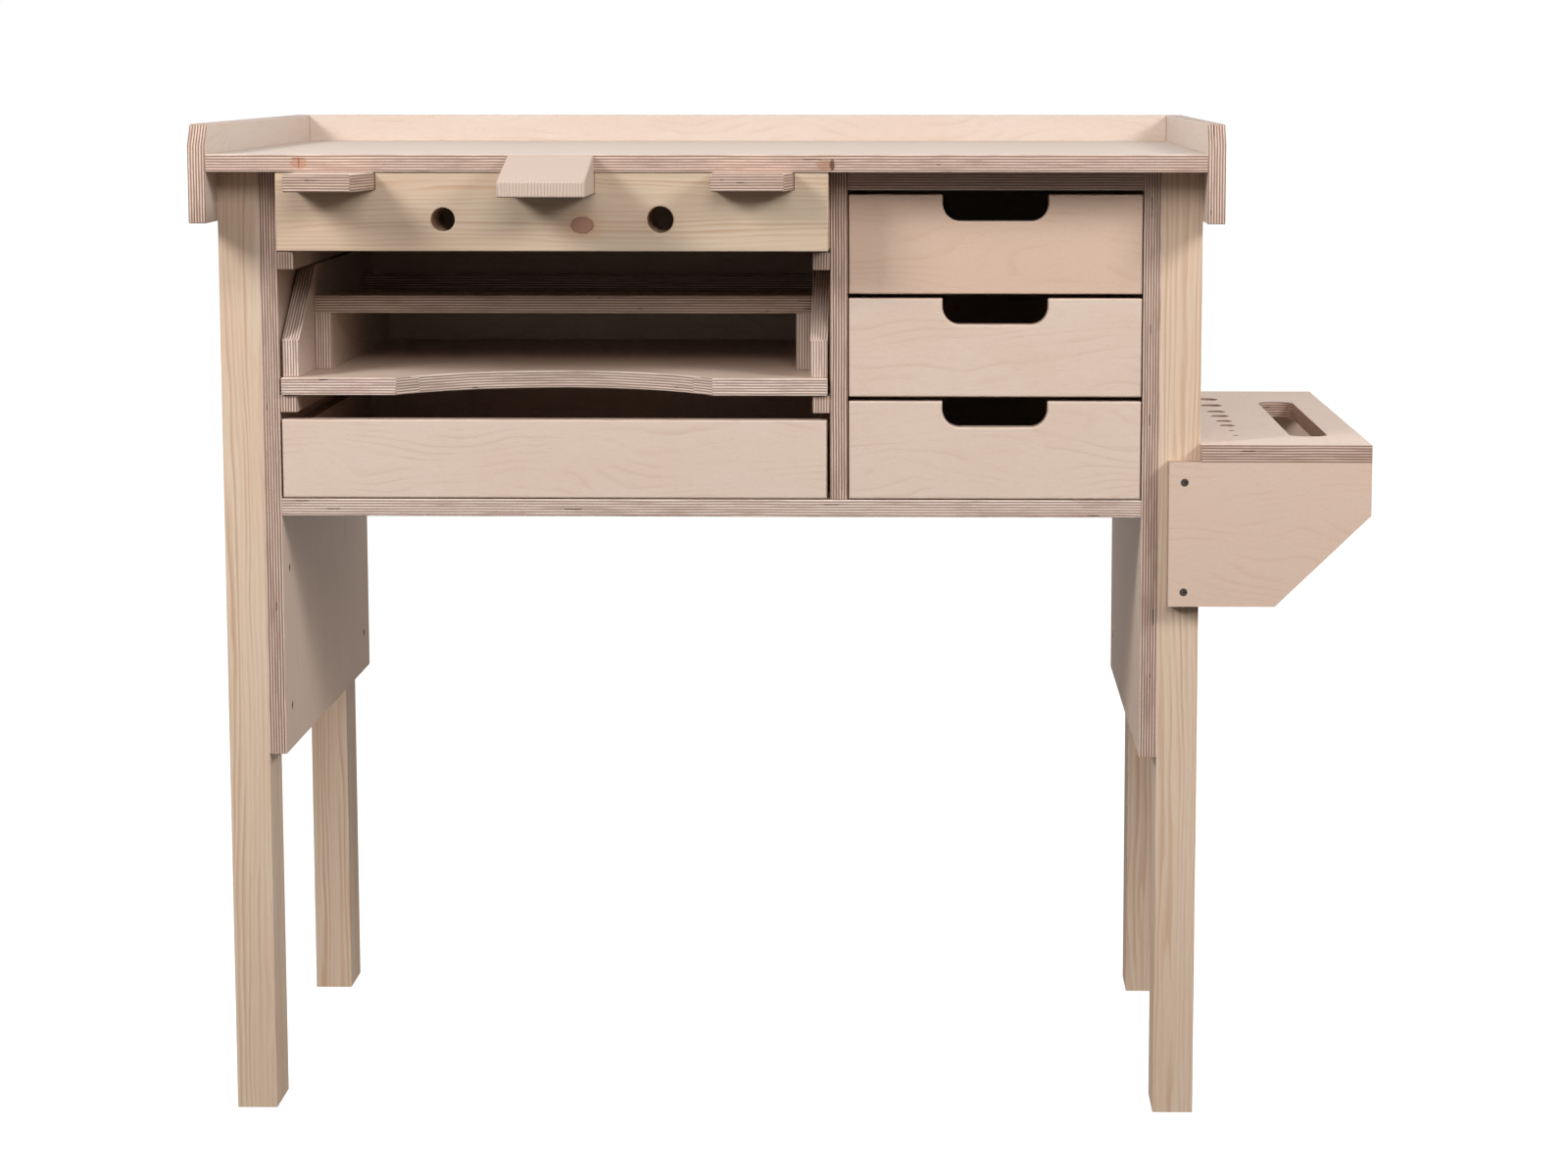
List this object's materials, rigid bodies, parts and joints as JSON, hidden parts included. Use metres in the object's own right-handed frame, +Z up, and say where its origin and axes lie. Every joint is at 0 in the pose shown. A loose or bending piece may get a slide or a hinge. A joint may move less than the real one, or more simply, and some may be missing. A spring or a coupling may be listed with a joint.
{
  "type": "goldsmith workbench",
  "caption": "Flat-pack goldsmith's workbench in birch plywood and pine with drawers, pull-out tray, bench pin, arm rests and a side tool rack.",
  "frame": {"origin": "on the floor, under the middle of the whole outline with the rack and the bench pin", "axes": "+Z up, +X to the worker's right, -Y towards the worker"},
  "size_m": [1.205, 0.695, 1.04],
  "materials": {
    "birch_ply": "sanded birch plywood, bare, with striped edges",
    "drawer_ply": "sanded birch plywood, bare, plain-sawn face",
    "pine": "planed pine, bare, with growth lines and a knot",
    "pin_wood": "sanded hardwood, end grain at the nose",
    "steel": "zinc-plated countersunk screws"
  },
  "bodies": {
    "bench": {"worktop": "birch_ply", "guard_left": "birch_ply", "guard_right": "birch_ply", "guard_back": "birch_ply", "leg_front_left": "pine", "leg_front_right": "pine", "leg_back_left": "pine", "leg_back_right": "pine", "gable_left": "birch_ply", "gable_right": "birch_ply", "cabinet_back": "birch_ply", "cabinet_floor": "birch_ply", "divider": "birch_ply", "apron": "pine", "bay_rail": "birch_ply", "bench_pin": "pin_wood", "tray_kicker_left": "birch_ply", "tray_kicker_right": "birch_ply", "tray_runner_left": "birch_ply", "tray_runner_right": "birch_ply", "drawer_runners_left": "birch_ply", "drawer_runners_right": "birch_ply", "rest_keepers": "birch_ply", "rack_board": "birch_ply", "rack_bracket_front": "birch_ply", "rack_bracket_back": "birch_ply", "rack_screws": "steel", "gable_screws": "steel"},
    "arm_rest_left": {"arm_rest_left": "birch_ply"},
    "arm_rest_right": {"arm_rest_right": "birch_ply"},
    "tray": {"tray_base": "birch_ply", "tray_side_left": "birch_ply", "tray_side_right": "birch_ply", "tray_post_left": "birch_ply", "tray_post_right": "birch_ply", "tray_shelf": "birch_ply", "tray_ledge": "birch_ply", "tray_back": "birch_ply"},
    "wide_drawer": {"wide_drawer_front": "drawer_ply", "wide_drawer_side_left": "drawer_ply", "wide_drawer_side_right": "drawer_ply", "wide_drawer_back": "drawer_ply", "wide_drawer_bottom": "drawer_ply"},
    "low_drawer": {"low_drawer_front": "drawer_ply", "low_drawer_side_left": "drawer_ply", "low_drawer_side_right": "drawer_ply", "low_drawer_back": "drawer_ply", "low_drawer_bottom": "drawer_ply"},
    "mid_drawer": {"mid_drawer_front": "drawer_ply", "mid_drawer_side_left": "drawer_ply", "mid_drawer_side_right": "drawer_ply", "mid_drawer_back": "drawer_ply", "mid_drawer_bottom": "drawer_ply"},
    "top_drawer": {"top_drawer_front": "drawer_ply", "top_drawer_side_left": "drawer_ply", "top_drawer_side_right": "drawer_ply", "top_drawer_back": "drawer_ply", "top_drawer_bottom": "drawer_ply"}
  },
  "joints": [
    {"name": "arm_rest_left_slide", "type": "slide", "parent": "bench", "child": "arm_rest_left", "axis": [0, -1, 0], "range_m": [0, 0.15]},
    {"name": "arm_rest_right_slide", "type": "slide", "parent": "bench", "child": "arm_rest_right", "axis": [0, -1, 0], "range_m": [0, 0.15]},
    {"name": "tray_slide", "type": "slide", "parent": "bench", "child": "tray", "axis": [0, -1, 0], "range_m": [0, 0.35]},
    {"name": "wide_drawer_slide", "type": "slide", "parent": "bench", "child": "wide_drawer", "axis": [0, -1, 0], "range_m": [0, 0.35]},
    {"name": "low_drawer_slide", "type": "slide", "parent": "bench", "child": "low_drawer", "axis": [0, -1, 0], "range_m": [0, 0.35]},
    {"name": "mid_drawer_slide", "type": "slide", "parent": "bench", "child": "mid_drawer", "axis": [0, -1, 0], "range_m": [0, 0.35]},
    {"name": "top_drawer_slide", "type": "slide", "parent": "bench", "child": "top_drawer", "axis": [0, -1, 0], "range_m": [0, 0.35]}
  ]
}
